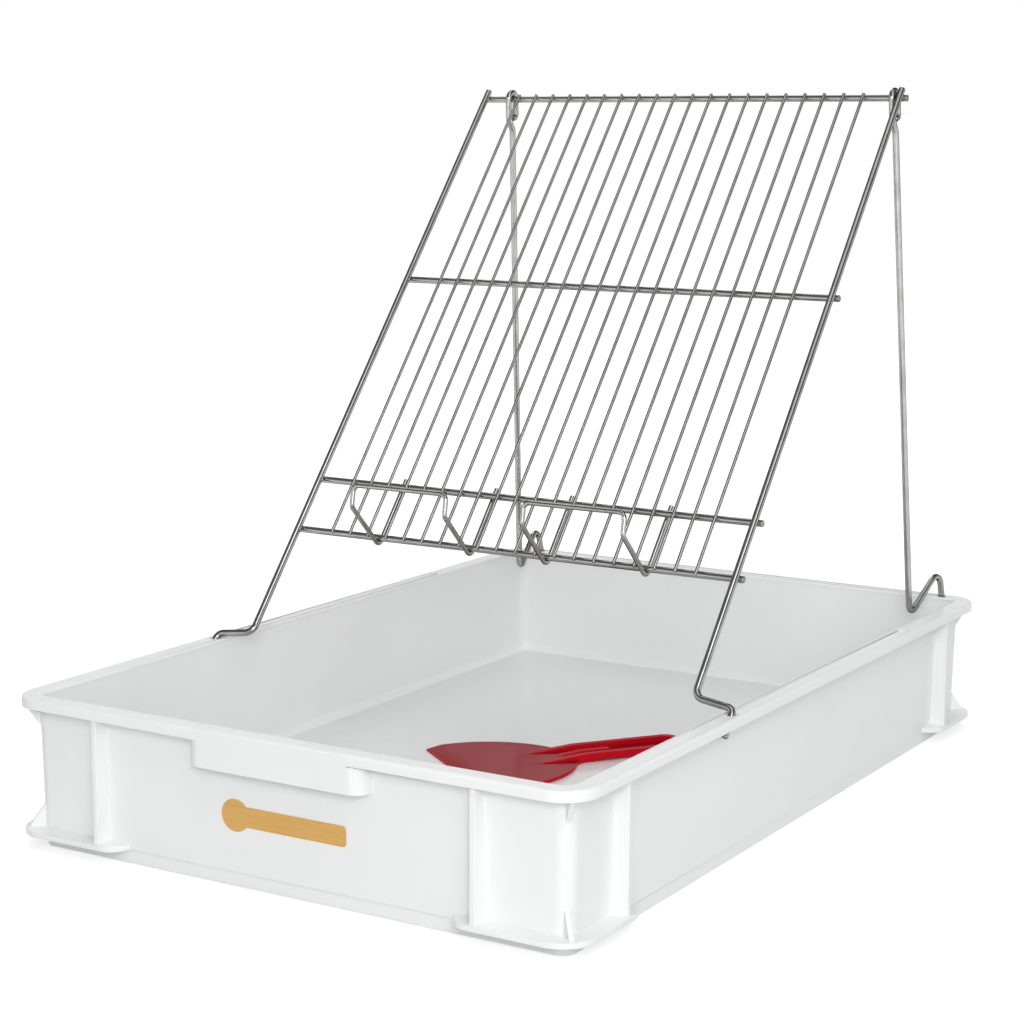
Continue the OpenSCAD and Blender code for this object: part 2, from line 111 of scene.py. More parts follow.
def linear(code: str) -> tuple[float, float, float, float]:
    """Turns an sRGB hex colour to linear values.

    Args:
        code: the colour as six hex digits after a hash sign.

    Returns:
        Red, green, blue and an alpha of 1.
    """
    parts = [int(code[i:i + 2], 16) / 255 for i in (1, 3, 5)]
    r, g, b = [p / 12.92 if p <= 0.04045 else ((p + 0.055) / 1.055) ** 2.4 for p in parts]
    return r, g, b, 1.0


def band(base: float, rise: Span) -> Span:
    """Gives two heights in metres.

    Args:
        base: a height in millimetres.
        rise: the two heights above it, in millimetres.

    Returns:
        The lower and the upper height.
    """
    low, high = rise
    return (base + low) * MM, (base + high) * MM


def add_node(tree: Tree, kind: str, settings: dict[str, Any] | None = None,
             inputs: dict[str | int, Any] | None = None) -> bpy.types.Node:
    """Adds one node with its settings, values and links.

    Args:
        tree: the node tree.
        kind: the node's type.
        settings: attributes of the node by name.
        inputs: a value, or a socket to link from, for each input by name or number.

    Returns:
        The new node.
    """
    made = tree.nodes.new(kind)
    for name, value in (settings or {}).items():
        setattr(made, name, value)
    for name, value in (inputs or {}).items():
        if isinstance(value, bpy.types.NodeSocket):
            tree.links.new(value, made.inputs[name])
        else:
            made.inputs[name].default_value = value
    return made


def new_material(name: str) -> tuple[Material, Tree, Socket]:
    """Starts an empty node material.

    Args:
        name: the material's name.

    Returns:
        The material, its tree and the object coordinates' socket.
    """
    made = bpy.data.materials.new(name)
    made.use_nodes = True
    made.node_tree.nodes.clear()
    place = add_node(made.node_tree, "ShaderNodeTexCoord")
    return made, made.node_tree, place.outputs["Object"]


def close_material(tree: Tree, shader: bpy.types.Node) -> None:
    """Links a shader to the tree's output.

    Args:
        tree: the node tree.
        shader: the shader node.
    """
    add_node(tree, "ShaderNodeOutputMaterial", None, {"Surface": shader.outputs[0]})


def close_principled(tree: Tree, inputs: dict[str | int, Any]) -> None:
    """Adds the main shader and links it to the tree's output.

    Args:
        tree: the node tree.
        inputs: the shader's values and links by name.
    """
    close_material(tree, add_node(tree, "ShaderNodeBsdfPrincipled", None, inputs))


def calc(tree: Tree, operation: str, *values: Socket) -> Socket:
    """Adds one sum of values.

    Args:
        tree: the node tree.
        operation: the kind of sum.
        values: its terms in order.

    Returns:
        The result.
    """
    return add_node(tree, "ShaderNodeMath", {"operation": operation},
                    dict(enumerate(values))).outputs[0]


def pattern(tree: Tree, place: Socket, size: Triple, detail: float = 2.0,
            turn: float = 0.0) -> Socket:
    """Adds a noise whose features have a real size along each axis.

    Args:
        tree: the node tree.
        place: the coordinates.
        size: the feature's size along X, Y and Z, in millimetres.
        detail: the noise's detail.
        turn: the pattern's turn about X, in degrees.

    Returns:
        The noise's value.
    """
    laid = add_node(tree, "ShaderNodeMapping", {"vector_type": "TEXTURE"}, {
        "Vector": place, "Rotation": (math.radians(-turn), 0.0, 0.0),
        "Scale": tuple(s * MM for s in size)})
    return add_node(tree, "ShaderNodeTexNoise", None, {
        "Vector": laid.outputs[0], "Scale": 1.0, "Detail": detail}).outputs["Fac"]


def spread(tree: Tree, value: Socket, source: Span, target: Span = SHARE) -> Socket:
    """Maps a value from one range to another and clamps it.

    Args:
        tree: the node tree.
        value: the value.
        source: the range it comes from.
        target: the range it goes to.

    Returns:
        The mapped value.
    """
    return add_node(tree, "ShaderNodeMapRange", None, {
        "Value": value, "From Min": source[0], "From Max": source[1],
        "To Min": target[0], "To Max": target[1]}).outputs[0]


def blend_colours(tree: Tree, share: Socket, first: Any, second: Any) -> Socket:
    """Mixes two colours.

    Args:
        tree: the node tree.
        share: the second colour's share.
        first: a colour or a socket.
        second: a colour or a socket.

    Returns:
        The mixed colour.
    """
    return add_node(tree, "ShaderNodeMix", {"data_type": "RGBA"}, {
        0: share, 6: first, 7: second}).outputs[2]


def mottle(tree: Tree, noise: Socket, span: Span, first: str, second: str,
           most: float = 1.0) -> Socket:
    """Mixes two colours in the patches of a noise.

    Args:
        tree: the node tree.
        noise: the noise.
        span: the noise's values from where the second colour starts to where it is full.
        first: the first hex colour.
        second: the second hex colour.
        most: the second colour's largest share.

    Returns:
        The mixed colour.
    """
    share = spread(tree, noise, span, (0.0, most))
    return blend_colours(tree, share, linear(first), linear(second))


def raise_relief(tree: Tree, height: Socket, strength: float, depth: float) -> Socket:
    """Adds a fine relief to the surface's normal.

    Args:
        tree: the node tree.
        height: the relief's height.
        strength: how much of it shows.
        depth: its depth in millimetres.

    Returns:
        The normal.
    """
    return add_node(tree, "ShaderNodeBump", None, {
        "Strength": strength, "Distance": depth * MM, "Height": height}).outputs[0]


def upward(tree: Tree) -> Socket:
    """Tells how far a surface faces up.

    Args:
        tree: the node tree.

    Returns:
        1 on a level surface and 0 on an upright one.
    """
    facing = add_node(tree, "ShaderNodeNewGeometry").outputs["Normal"]
    return add_node(tree, "ShaderNodeSeparateXYZ", None, {0: facing}).outputs[2]


def edge_mask(tree: Tree, width: float) -> Socket:
    """Finds the places beside an edge, where a rounded normal leaves the surface's own.

    Args:
        tree: the node tree.
        width: the distance from the edge, in millimetres.

    Returns:
        1 on an edge and 0 away from it.
    """
    rounded = add_node(tree, "ShaderNodeBevel", {"samples": EDGE_SAMPLES}, {"Radius": width * MM})
    plain = add_node(tree, "ShaderNodeNewGeometry").outputs["Normal"]
    match = add_node(tree, "ShaderNodeVectorMath", {"operation": "DOT_PRODUCT"}, {
        0: rounded.outputs[0], 1: plain})
    return spread(tree, match.outputs["Value"], EDGE_MATCH)


def level_by_ray(tree: Tree, lighting: float, shown: Socket) -> Socket:
    """Gives one level to the rays that light the object and another to those that show a background.

    Args:
        tree: the node tree.
        lighting: the level for the rays that light the object.
        shown: the level for camera, glossy and transmission rays.

    Returns:
        The level.
    """
    path = add_node(tree, "ShaderNodeLightPath").outputs
    direct = calc(tree, "MAXIMUM", path["Is Camera Ray"], path["Is Glossy Ray"])
    seen = calc(tree, "MAXIMUM", direct, path["Is Transmission Ray"])
    return add_node(tree, "ShaderNodeMix", {"data_type": "FLOAT"}, {
        0: seen, 2: lighting, 3: shown}).outputs[0]


@dataclass(frozen=True)
class MouldedPolyethylene:
    """White food-grade polyethylene, injection moulded: an even soft gloss with a faint ripple from
    the mould, a scuffed greyer floor where frames and tools slide, and rub marks on the rim."""

    name: str = "white_moulded_polyethylene"
    colour: str = "#f2f3f3"
    cloud: str = "#f0f1f1"
    floor: str = "#e2e3e3"
    rubbed: str = "#e4e4e2"
    ior: float = 1.53
    satin: float = 0.3
    polished: float = 0.15
    gloss_drift: float = 0.02
    floor_z: float = 12.5
    floor_foot: Span = (-0.4, -0.1)
    floor_top: Span = (0.3, 0.8)
    floor_level: Span = (0.9, 0.99)
    rim_z: float = 94.0
    rim_rise: Span = (0.0, 0.9)
    cloud_size: Triple = (90.0, 90.0, 60.0)
    # Scuffs are hair-fine and lie all ways; drawn 2 mm wide in loose patches, so that they show
    scuff_size: Triple = (7.0, 4.5, 2.0)
    scuff_least: float = 0.75
    scuff_dulling: float = 0.06
    grain_size: Triple = (1.6, 1.6, 1.6)
    ripple_size: Triple = (16.0, 16.0, 16.0)
    ripple_share: float = 0.25
    # Rub marks on the rim come in patches of about 12 mm
    rub_size: Triple = (12.0, 12.0, 12.0)
    rub_span: Span = (0.58, 0.74)
    rub_most: float = 0.35
    relief: float = 0.05
    relief_depth: float = 0.2
    # Light sinks a little way into the plastic, which softens the shading at thin edges
    sinking: float = 0.12
    sinking_depth: float = 2.5

    def make(self) -> Material:
        """Builds the material.

        Returns:
            The material.
        """
        made, tree, place = new_material(self.name)
        height = add_node(tree, "ShaderNodeSeparateXYZ", None, {0: place}).outputs[2]
        clouds = pattern(tree, place, self.cloud_size, 3)
        scuffs = pattern(tree, place, self.scuff_size, 5)
        grain = pattern(tree, place, self.grain_size)
        ripple = pattern(tree, place, self.ripple_size)
        below = spread(tree, height, band(self.floor_z, self.floor_top), (1.0, 0.0))
        above = spread(tree, height, band(self.floor_z, self.floor_foot))
        on_floor = calc(tree, "MULTIPLY", below, above)
        worn = calc(tree, "MULTIPLY", on_floor, spread(tree, upward(tree), self.floor_level))
        least = (self.scuff_least, 1.0)
        scuffed = calc(tree, "MULTIPLY", worn, spread(tree, scuffs, MOST, least))
        rubs = pattern(tree, place, self.rub_size, 5)
        on_rim = spread(tree, height, band(self.rim_z, self.rim_rise))
        rubbed = calc(tree, "MULTIPLY", on_rim,
                      spread(tree, rubs, self.rub_span, (0.0, self.rub_most)))
        plain = mottle(tree, clouds, MOST, self.colour, self.cloud)
        dulled = blend_colours(tree, scuffed, plain, linear(self.floor))
        colour = blend_colours(tree, rubbed, dulled, linear(self.rubbed))
        satin = calc(tree, "ADD", spread(tree, clouds, WIDE, (-self.gloss_drift, self.gloss_drift)),
                     spread(tree, worn, SHARE, (self.satin, self.polished)))
        gloss = calc(tree, "ADD", satin, spread(tree, scuffed, least, (0.0, self.scuff_dulling)))
        marks = calc(tree, "ADD", scuffs, grain)
        relief = calc(tree, "MULTIPLY_ADD", marks, worn,
                      spread(tree, ripple, SHARE, (0.0, self.ripple_share)))
        close_principled(tree, {
            "Base Color": colour, "Roughness": gloss, "IOR": self.ior,
            "Normal": raise_relief(tree, relief, self.relief, self.relief_depth),
            "Subsurface Weight": self.sinking, "Subsurface Radius": (1.0, 1.0, 1.0),
            "Subsurface Scale": self.sinking_depth * MM})
        return made


@dataclass(frozen=True)
class DrawnStainless:
    """Bright stainless wire, cold drawn: a grey mirror broken by fine lines along the wire, with
    duller stretches where it was straightened and handled, and with painted shade darkening its
    outline."""

    name: str
    grain: Grain
    colour: str = "#b4b4b3"
    dull: str = "#9d9d9c"
    # Painted shade: the reflection at grazing angles, along the wire's outline, is tinted this dark
    # grey
    edge: str = "#404040"
    gloss: Span = (0.1, 0.16)
    # Draw lines are far finer than a pixel: drawn 0.5 mm wide, so that they show at all
    line_w: float = 0.5
    line_l: float = 40.0
    line_gloss: Span = (-0.03, 0.04)
    patch_size: Triple = (14.0, 14.0, 14.0)
    patch_span: Span = (0.4, 0.68)
    patch_most: float = 0.75
    relief: float = 0.1
    relief_depth: float = 0.03

    def make(self) -> Material:
        """Builds the material.

        Returns:
            The material.
        """
        made, tree, place = new_material(self.name)
        turn, axis = self.grain.value
        lines = [self.line_w] * 3
        lines[axis] = self.line_l
        drawn = pattern(tree, place, tuple(lines), turn=turn)
        patches = pattern(tree, place, self.patch_size, 4)
        colour = mottle(tree, patches, self.patch_span, self.colour, self.dull, self.patch_most)
        gloss = calc(tree, "ADD", spread(tree, patches, MOST, self.gloss),
                     spread(tree, drawn, EVEN, self.line_gloss))
        close_principled(tree, {
            "Base Color": colour, "Metallic": 1.0, "Roughness": gloss,
            "Normal": raise_relief(tree, drawn, self.relief, self.relief_depth),
            # The edge tint paints shade into the grazing reflection
            "Specular Tint": linear(self.edge)})
        return made


@dataclass(frozen=True)
class SpotWeld:
    """Stainless at a resistance weld: a small squeezed fillet, dull and tinted straw by heat."""

    name: str = "stainless_spot_weld"
    colour: str = "#7d776c"
    burnt: str = "#54504a"
    gloss: Span = (0.38, 0.52)
    tint_size: Triple = (1.6, 1.6, 1.6)
    relief: float = 0.4
    relief_depth: float = 0.1

    def make(self) -> Material:
        """Builds the material.

        Returns:
            The material.
        """
        made, tree, place = new_material(self.name)
        tint = pattern(tree, place, self.tint_size, 3)
        close_principled(tree, {
            "Base Color": mottle(tree, tint, EVEN, self.colour, self.burnt), "Metallic": 1.0,
            "Roughness": spread(tree, tint, WIDE, self.gloss),
            "Normal": raise_relief(tree, tint, self.relief, self.relief_depth)})
        return made


@dataclass(frozen=True)
class RedPolypropylene:
    """Red polypropylene, injection moulded: smooth and shiny, so that the blade mirrors the tray's
    wall as a grey sheen, with painted shade that deepens the red of level faces, a painted highlight
    that brightens the red of thin edges, and fine scratches on the blade."""

    name: str = "red_moulded_polypropylene"
    colour: str = "#c6101f"
    deep: str = "#bc0e1d"
    # Painted shade: level faces, which take less of the light, are mixed to this darker red
    level: str = "#930916"
    # Painted highlight: thin edges are mixed to this brighter red, as if light caught them
    painted_edge_highlight: str = "#e01426"
    scratch: str = "#b5303a"
    sheen: float = 0.05
    gloss: Span = (0.13, 0.18)
    level_shade_span: Span = (0.9, 0.98)
    highlight_edge_w: float = 1.6
    cloud_size: Triple = (40.0, 30.0, 20.0)
    turn: float = 53.0
    # Scratches run along the blade; drawn 0.7 mm wide, so that they show
    scratch_size: Triple = (16.0, 0.7, 4.0)
    scratch_span: Span = (0.62, 0.74)
    scratch_share: Span = (0.0, 0.3)
    scratch_dulling: Span = (0.0, 0.1)

    def make(self) -> Material:
        """Builds the material.

        Returns:
            The material.
        """
        made, tree, place = new_material(self.name)
        laid = add_node(tree, "ShaderNodeMapping", {"vector_type": "POINT"}, {
            "Vector": place, "Rotation": (0.0, 0.0, math.radians(-self.turn))}).outputs[0]
        clouds = pattern(tree, laid, self.cloud_size)
        scratches = spread(tree, pattern(tree, laid, self.scratch_size, 3), self.scratch_span,
                           self.scratch_share)
        plain = mottle(tree, clouds, MOST, self.colour, self.deep)
        # Painted shade: the more a face points up, the more of the darker red it gets
        level = spread(tree, upward(tree), self.level_shade_span)
        shaded = blend_colours(tree, level, plain, linear(self.level))
        scratched = blend_colours(tree, scratches, shaded, linear(self.scratch))
        # Painted highlight along the edges
        colour = blend_colours(tree, edge_mask(tree, self.highlight_edge_w), scratched, linear(self.painted_edge_highlight))
        gloss = calc(tree, "ADD", spread(tree, clouds, WIDE, self.gloss),
                     spread(tree, scratches, self.scratch_share, self.scratch_dulling))
        close_principled(tree, {
            "Base Color": colour, "Roughness": gloss, "Specular IOR Level": self.sheen})
        return made


@dataclass(frozen=True)
class GoldFoil:
    """Gold anodised foil on a plate, brushed along its length: warm, satin and a little uneven."""

    name: str = "gold_anodised_foil"
    colour: str = "#dcae62"
    deep: str = "#d2a254"
    metal: float = 0.2
    gloss: Span = (0.4, 0.52)
    # Brush lines are about 0.1 mm apart; drawn 0.6 mm apart, so that they show
    brush_size: Triple = (22.0, 0.6, 0.6)
    relief: float = 0.2
    relief_depth: float = 0.05

    def make(self) -> Material:
        """Builds the material.

        Returns:
            The material.
        """
        made, tree, place = new_material(self.name)
        brushed = pattern(tree, place, self.brush_size, 3)
        close_principled(tree, {
            "Base Color": mottle(tree, brushed, WIDE, self.colour, self.deep),
            "Metallic": self.metal, "Roughness": spread(tree, brushed, WIDE, self.gloss),
            "Normal": raise_relief(tree, brushed, self.relief, self.relief_depth)})
        return made


def deselect_all() -> None:
    """Leaves edit mode and clears the selection."""
    if bpy.context.object and bpy.context.object.mode != "OBJECT":
        bpy.ops.object.mode_set(mode="OBJECT")
    bpy.ops.object.select_all(action="DESELECT")


def take_up(piece: Piece) -> None:
    """Makes one object the active and only selected one.

    Args:
        piece: the object.
    """
    deselect_all()
    piece.select_set(True)
    bpy.context.view_layer.objects.active = piece


def smooth(piece: Piece, angle: float) -> None:
    """Joins an object's level faces and shades it smooth below an angle, with large faces flat.

    Args:
        piece: the object.
        angle: the angle in degrees.
    """
    take_up(piece)
    bpy.ops.object.mode_set(mode="EDIT")
    bpy.ops.mesh.select_all(action="SELECT")
    bpy.ops.mesh.dissolve_limited(angle_limit=math.radians(LEVEL_ANGLE))
    bpy.ops.object.mode_set(mode="OBJECT")
    bpy.ops.object.shade_smooth_by_angle(angle=math.radians(angle))
    flat = piece.modifiers.new("flat_faces", "WEIGHTED_NORMAL")
    flat.keep_sharp = True
    flat.weight = LARGE_FACE_WEIGHT
    bpy.ops.object.modifier_apply(modifier=flat.name)


def apply_bevel(piece: Piece, width: float, angle: float) -> None:
    """Rounds the sharp edges of an object.

    Args:
        piece: the object.
        width: the bevel's width in millimetres.
        angle: the least angle that is rounded, in degrees.
    """
    take_up(piece)
    rounded = piece.modifiers.new("rounded_edges", "BEVEL")
    rounded.width = width * MM
    rounded.segments = BEVEL_STEPS
    rounded.limit_method = "ANGLE"
    rounded.angle_limit = math.radians(angle)
    rounded.use_clamp_overlap = False
    rounded.miter_outer = "MITER_ARC"
    bpy.ops.object.modifier_apply(modifier=rounded.name)


def hold_inside(piece: Piece, low: Vector, high: Vector) -> None:
    """Draws back the few points that a bevel pushes past its solid's box.

    Args:
        piece: the object.
        low: the box's lowest corner in metres.
        high: the box's highest corner in metres.
    """
    for point in piece.data.vertices:
        point.co = [min(max(c, a), b) for c, a, b in zip(point.co, low, high)]


def merged_copy(node: Piece, name: str) -> Piece:
    """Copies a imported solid's mesh and joins its loose triangles to flat four-sided faces.

    Args:
        node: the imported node.
        name: the copy's name.

    Returns:
        The copy.
    """
    made = bpy.data.objects.new(name, node.data.copy())
    bpy.context.scene.collection.objects.link(made)
    made.data.materials.clear()
    take_up(made)
    bpy.ops.object.mode_set(mode="EDIT")
    bpy.ops.mesh.select_all(action="SELECT")
    bpy.ops.mesh.customdata_custom_splitnormals_clear()
    bpy.ops.mesh.remove_doubles(threshold=SAME_POINT * MM)
    bpy.ops.mesh.tris_convert_to_quads(
        face_threshold=math.radians(QUAD_ANGLE), shape_threshold=math.radians(QUAD_SKEW))
    bpy.ops.object.mode_set(mode="OBJECT")
    return made


def dress(piece: Piece, finish: Material, body: str) -> None:
    """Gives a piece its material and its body.

    Args:
        piece: the piece.
        finish: the material.
        body: the body that it rides on.
    """
    piece.data.materials.clear()
    piece.data.materials.append(finish)
    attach(piece, body)
    log.info("piece %s: %d faces on %s", piece.name, len(piece.data.polygons), body)


def finish_wire(node: Piece, finish: Material, body: str, edge: float) -> None:
    """Gives a wire round shading and broken ends.

    Args:
        node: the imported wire.
        finish: its material.
        body: the body that it rides on.
        edge: the width of its broken ends in millimetres.
    """
    wire = merged_copy(node, f"{node.name}_drawn")
    apply_bevel(wire, edge, WIRE_EDGE_FROM)
    smooth(wire, WIRE_SMOOTH_TO)
    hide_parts(node.name)
    dress(wire, finish, body)


@dataclass
class Tray:
    """The moulded tray with softened edges, and the bare plate on its front wall."""

    edge: float = 0.45
    plate_l: float = 88.2
    plate_h: float = 12.4
    plate_t: float = 0.4
    plate_x: float = -0.5
    plate_z: float = 43.5
    plate_r: float = 2.5
    plate_corner_steps: int = 8
    plate_edge: float = 0.08
    plate_edge_from: float = 60.0
    plate_smooth_to: float = 35.0
    plate_sunk: float = 0.1
    disc_r: float = 9.9
    disc_steps: int = 64
    wall_y: float = 288.035
    wall_tilt: float = 1.367

    def build(self, nodes: dict[str, Piece]) -> None:
        """Builds and dresses the tray and its plate.

        Args:
            nodes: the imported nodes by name.
        """
        moulding = merged_copy(nodes["tray"], "tray_moulding")
        apply_bevel(moulding, self.edge, MOULD_EDGE_FROM)
        hold_inside(moulding, *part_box("tray"))
        smooth(moulding, MOULD_SMOOTH_TO)
        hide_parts("tray")
        dress(moulding, MouldedPolyethylene().make(), "tray")
        plate = self.build_plate()
        dress(plate, GoldFoil().make(), "tray")

    def build_plate(self) -> Piece:
        """Models the plate flat, as a bar joined to a disc, and lays it on the wall.

        Returns:
            The plate.
        """
        deselect_all()
        bpy.ops.mesh.primitive_cylinder_add(
            vertices=self.disc_steps, radius=self.disc_r * MM, depth=self.plate_t * MM,
            location=((self.disc_r - self.plate_l / 2) * MM, 0, 0))
        disc = bpy.context.object
        bpy.ops.mesh.primitive_cube_add(size=1, location=(self.disc_r / 2 * MM, 0, 0))
        plate = bpy.context.object
        plate.name = "front_plate"
        plate.scale = ((self.plate_l - self.disc_r) * MM, self.plate_h * MM, self.plate_t * MM)
        bpy.ops.object.transform_apply(location=True, rotation=False, scale=True)
        bpy.ops.object.mode_set(mode="EDIT")
        bpy.ops.mesh.select_mode(type="EDGE")
        bpy.ops.mesh.select_all(action="DESELECT")
        bpy.ops.object.mode_set(mode="OBJECT")
        # The two upright edges at the end away from the disc
        for edge in plate.data.edges:
            start, stop = (plate.data.vertices[i].co for i in edge.vertices)
            edge.select = abs(start.z - stop.z) > self.plate_t * MM / 2 and start.x > 0
        bpy.ops.object.mode_set(mode="EDIT")
        bpy.ops.mesh.bevel(
            offset=self.plate_r * MM, segments=self.plate_corner_steps, affect="EDGES")
        bpy.ops.object.mode_set(mode="OBJECT")
        joined = plate.modifiers.new("bar_and_disc", "BOOLEAN")
        joined.operation = "UNION"
        joined.object = disc
        bpy.ops.object.modifier_apply(modifier=joined.name)
        bpy.data.objects.remove(disc)
        apply_bevel(plate, self.plate_edge, self.plate_edge_from)
        smooth(plate, self.plate_smooth_to)
        middle = Vector((self.plate_x, -self.wall_y, self.plate_z)) * MM
        tilt = Euler((math.radians(90 + self.wall_tilt), 0, 0)).to_matrix().to_4x4()
        sunk = Matrix.Translation((0, 0, (self.plate_t / 2 - self.plate_sunk) * MM))
        plate.data.transform(Matrix.Translation(middle) @ tilt @ sunk)
        return plate


@dataclass
class Rack:
    """The wire rack: rods, bars, grid and hooks with broken ends, and welds at the crossings."""

    lean: float = 39.6
    foot: Span = (-100.717, 100.782)
    rods: tuple[float, ...] = (-166.0, 166.0)
    bars: tuple[float, ...] = (84.5, 125.0, 297.5, 466.5)
    bar_n: float = 4.35
    rod_n: float = 0.0
    grid_n: int = 20
    grid_first: float = -138.3
    grid_step: float = 14.5579
    wire_n: float = 1.15
    leg_n: float = 8.05
    legs: tuple[float, ...] = (-101.905, -29.116, 29.116, 101.905)
    leg_bars: int = 2
    end_edge: float = 0.3
    # Each weld's distance behind the middle of its crossing, and its radius
    grid_weld: Span = (-0.55, 1.45)
    rod_weld: Span = (0.0, 2.35)
    leg_weld: Span = (0.3, 1.9)
    weld_squeeze: float = 0.62
    weld_steps: tuple[int, int] = (10, 6)
    weld_smooth_to: float = 60.0

    def at(self, x: float, t: float, n: float) -> Vector:
        """Gives a point of the rack in metres.

        Args:
            x: the distance across.
            t: the distance up the rods from their lower bend.
            n: the distance behind the rods' plane.

        Returns:
            The point.
        """
        s, c = math.sin(math.radians(self.lean)), math.cos(math.radians(self.lean))
        return Vector((x, self.foot[0] + t * s + n * c, self.foot[1] + t * c - n * s)) * MM

    def build(self, nodes: dict[str, Piece]) -> None:
        """Builds and dresses the rack's wires and welds.

        Args:
            nodes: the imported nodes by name.
        """
        sloping = DrawnStainless("drawn_stainless_wire_sloping", Grain.SLOPE).make()
        across = DrawnStainless("drawn_stainless_wire_across", Grain.ACROSS).make()
        for name, node in nodes.items():
            if name.startswith(("side_rod", "grid_wire", "cross_bar", "frame_hook")):
                finish = across if name.startswith("cross_bar") else sloping
                finish_wire(node, finish, "rack", self.end_edge)
        dress(self.build_welds(), SpotWeld().make(), "rack")

    def seats(self) -> list[tuple[float, float, float, float]]:
        """Lists the crossings that are welded.

        Returns:
            Each weld's place across, up and behind the rods, and its radius, in millimetres.
        """
        grid = tuple(self.grid_first + i * self.grid_step for i in range(self.grid_n))
        rows = ((grid, self.bars, self.wire_n, self.grid_weld),
                (self.rods, self.bars, self.rod_n, self.rod_weld),
                (self.legs, self.bars[:self.leg_bars], self.leg_n, self.leg_weld))
        return [(x, t, (n + self.bar_n) / 2 + behind, size)
                for places, bars, n, (behind, size) in rows for x in places for t in bars]

    def build_welds(self) -> Piece:
        """Models one squeezed weld fillet and sets a copy of it at each crossing.

        Returns:
            All the welds as one piece.
        """
        deselect_all()
        around, rings = self.weld_steps
        bpy.ops.mesh.primitive_uv_sphere_add(segments=around, ring_count=rings, radius=MM)
        bead = bpy.context.object
        bpy.ops.object.mode_set(mode="EDIT")
        bpy.ops.mesh.select_all(action="SELECT")
        bpy.ops.transform.resize(value=(1.0, 1.0, self.weld_squeeze))
        bpy.ops.object.mode_set(mode="OBJECT")
        slope = Euler((-math.radians(self.lean), 0, 0)).to_matrix().to_4x4()
        copies = []
        for number, (x, t, n, size) in enumerate(self.seats()):
            copy = bpy.data.objects.new(f"weld_{number}", bead.data.copy())
            bpy.context.scene.collection.objects.link(copy)
            squeezed = Matrix.Diagonal((size, self.weld_squeeze * size, size, 1))
            copy.data.transform(Matrix.Translation(self.at(x, t, n)) @ slope @ squeezed)
            copies.append(copy)
        take_up(copies[0])
        for copy in copies:
            copy.select_set(True)
        bpy.ops.object.join()
        welds = bpy.context.object
        bpy.data.objects.remove(bead)
        welds.name = "rack_spot_welds"
        smooth(welds, self.weld_smooth_to)
        return welds


@dataclass
class Props:
    """The two hinged props behind the rack."""

    names: tuple[str, ...] = ("prop_left", "prop_right")
    end_edge: float = 0.4

    def build(self, nodes: dict[str, Piece]) -> None:
        """Builds and dresses the props.

        Args:
            nodes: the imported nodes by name.
        """
        upright = DrawnStainless("drawn_stainless_wire_upright", Grain.UPRIGHT).make()
        for name in self.names:
            finish_wire(nodes[name], upright, name, self.end_edge)


@dataclass
class Scraper:
    """The loose scraper with moulded edges."""

    edge: float = 0.5

    def build(self, nodes: dict[str, Piece]) -> None:
        """Builds and dresses the scraper.

        Args:
            nodes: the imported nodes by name.
        """
        moulding = merged_copy(nodes["scraper"], "scraper_moulding")
        apply_bevel(moulding, self.edge, MOULD_EDGE_FROM)
        smooth(moulding, MOULD_SMOOTH_TO)
        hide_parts("scraper")
        dress(moulding, RedPolypropylene().make(), "scraper")


@dataclass
class Lamp:
    """One soft lamp that faces the object."""

    name: str
    place: Triple
    size: float
    watts: float
    aim: Triple = (0.0, 0.0, 0.12)

    def build(self) -> None:
        """Adds the lamp."""
        data = bpy.data.lights.new(self.name, "AREA")
        data.size = self.size
        data.energy = self.watts
        lamp = bpy.data.objects.new(self.name, data)
        bpy.context.scene.collection.objects.link(lamp)
        lamp.location = self.place
        facing = Vector(self.aim) - Vector(self.place)
        lamp.rotation_euler = facing.to_track_quat("-Z", "Y").to_euler()


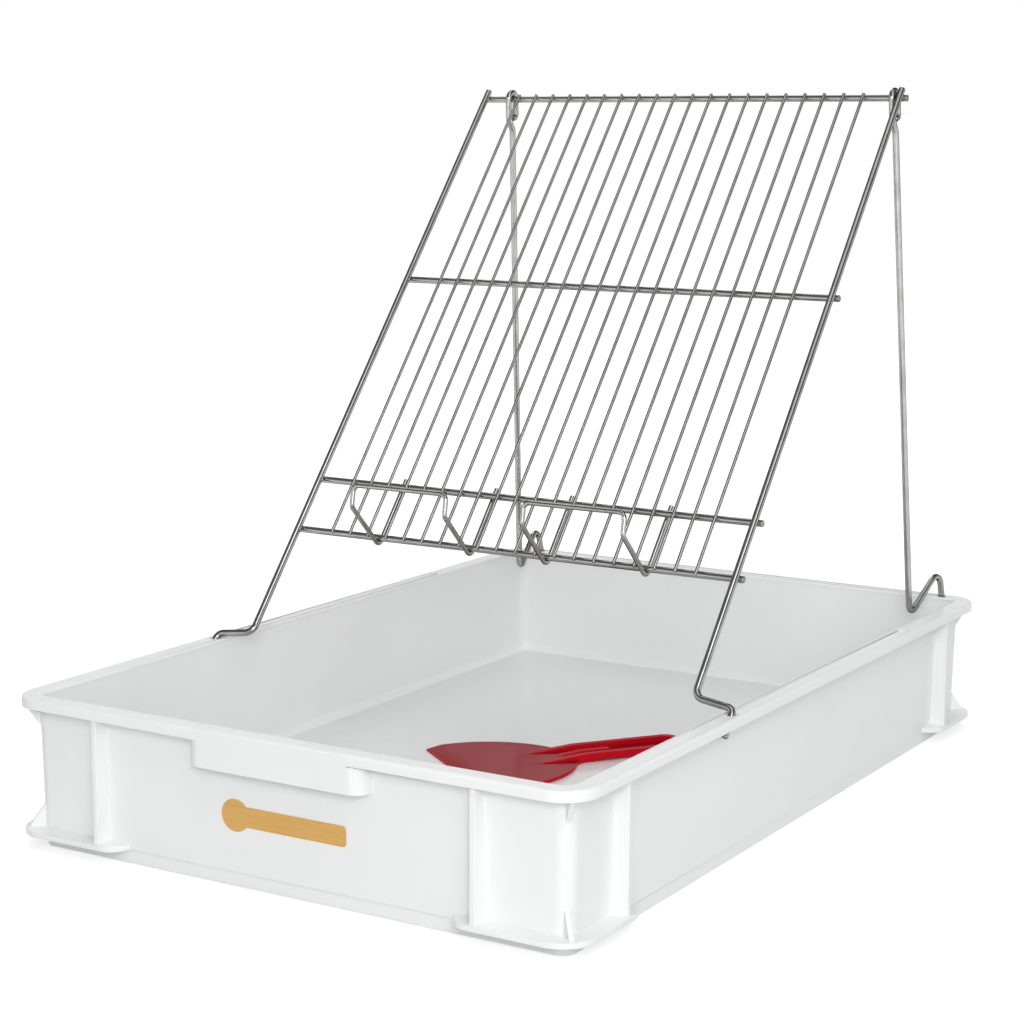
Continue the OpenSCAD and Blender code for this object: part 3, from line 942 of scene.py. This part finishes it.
@dataclass
class Studio:
    """A pale flat floor, soft lamps, a plain world and the camera."""

    floor_half: float = 7.0
    floor_drop: float = 0.4
    floor_colour: str = "#d2d2d2"
    lift: Span = (0.58, 0.82)
    lift_reach: Span = (0.6, 1.8)
    bounce: float = 0.04
    sky: float = 0.4
    ceiling: float = 0.16
    ceiling_rise: Span = (0.22, 0.5)
    azimuth: float = 31.23
    elevation: float = 9.5
    roll: float = 0.24
    place: Triple = (762.11, -1295.29, 435.21)
    lens: float = 80.36
    sensor: float = 36.0
    lamps: list[Lamp] = field(default_factory=lambda: [
        Lamp("key", (2.3, -2.3, 1.2), 2.0, 21.0),
        Lamp("near", (1.05, -1.75, 0.85), 0.6, 13.5),
        Lamp("overhead", (1.3, -1.15, 2.2), 0.9, 8.0),
        Lamp("top", (0.3, -0.3, 2.4), 1.6, 7.0),
        Lamp("back", (-1.3, 1.5, 2.2), 1.2, 14.0)])

    def build(self) -> None:
        """Builds the whole studio."""
        bpy.context.scene.view_settings.view_transform = "Standard"
        self.build_floor()
        self.build_world()
        self.build_camera()
        for lamp in self.lamps:
            lamp.build()

    def build_floor(self) -> None:
        """Models the flat floor and gives it a pale matt finish."""
        deselect_all()
        bpy.ops.mesh.primitive_plane_add(
            size=2 * self.floor_half, location=(0, 0, -self.floor_drop * MM))
        floor = bpy.context.object
        floor.name = "studio_floor"
        bpy.ops.object.transform_apply(location=True, rotation=False, scale=False)
        made, tree, place = new_material("matt_white_paper_sweep")
        plain = add_node(tree, "ShaderNodeBsdfDiffuse", None, {"Color": linear(self.floor_colour)})
        # The glow is weaker near the object, where the lamps reach, so that its shadow shows
        reach = add_node(tree, "ShaderNodeVectorMath", {"operation": "LENGTH"}, {0: place})
        lift = spread(tree, reach.outputs["Value"], self.lift_reach, self.lift)
        glow = add_node(tree, "ShaderNodeEmission", None, {
            "Strength": level_by_ray(tree, self.bounce, lift)})
        close_material(tree, add_node(tree, "ShaderNodeAddShader", None, {
            0: plain.outputs[0], 1: glow.outputs[0]}))
        floor.data.materials.append(made)

    def build_world(self) -> None:
        """Sets a white room with a darker ceiling, which lights the object at a plain level."""
        world = bpy.data.worlds.new("white_room")
        bpy.context.scene.world = world
        world.use_nodes = True
        tree = world.node_tree
        tree.nodes.clear()
        way = add_node(tree, "ShaderNodeTexCoord").outputs["Generated"]
        rise = add_node(tree, "ShaderNodeSeparateXYZ", None, {0: way}).outputs[2]
        room = spread(tree, rise, self.ceiling_rise, (1.0, self.ceiling))
        glow = add_node(tree, "ShaderNodeBackground", None, {
            "Color": (1.0, 1.0, 1.0, 1.0), "Strength": level_by_ray(tree, self.sky, room)})
        add_node(tree, "ShaderNodeOutputWorld", None, {"Surface": glow.outputs[0]})

    def build_camera(self) -> None:
        """Sets the camera where the photograph was taken from."""
        az, el, roll = (math.radians(a) for a in (self.azimuth, self.elevation, self.roll))
        back = Vector((math.sin(az) * math.cos(el), -math.cos(az) * math.cos(el), math.sin(el)))
        level = Vector((math.cos(az), math.sin(az), 0.0))
        rise = back.cross(level)
        right = level * math.cos(roll) + rise * math.sin(roll)
        up = rise * math.cos(roll) - level * math.sin(roll)
        data = bpy.data.cameras.new("photo_camera")
        data.lens = self.lens
        data.sensor_width = self.sensor
        camera = bpy.data.objects.new("photo_camera", data)
        bpy.context.scene.collection.objects.link(camera)
        turned = Matrix((right, up, back)).transposed().to_4x4()
        camera.matrix_world = Matrix.Translation(Vector(self.place) * MM) @ turned
        bpy.context.scene.camera = camera


def main() -> None:
    """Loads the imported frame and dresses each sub-assembly."""
    logging.basicConfig(level=logging.INFO, format="%(message)s")
    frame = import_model()
    nodes = frame["nodes"]
    Studio().build()
    for assembly in (Tray(), Rack(), Props(), Scraper()):
        assembly.build(nodes)


if __name__ == "__main__":
    main()
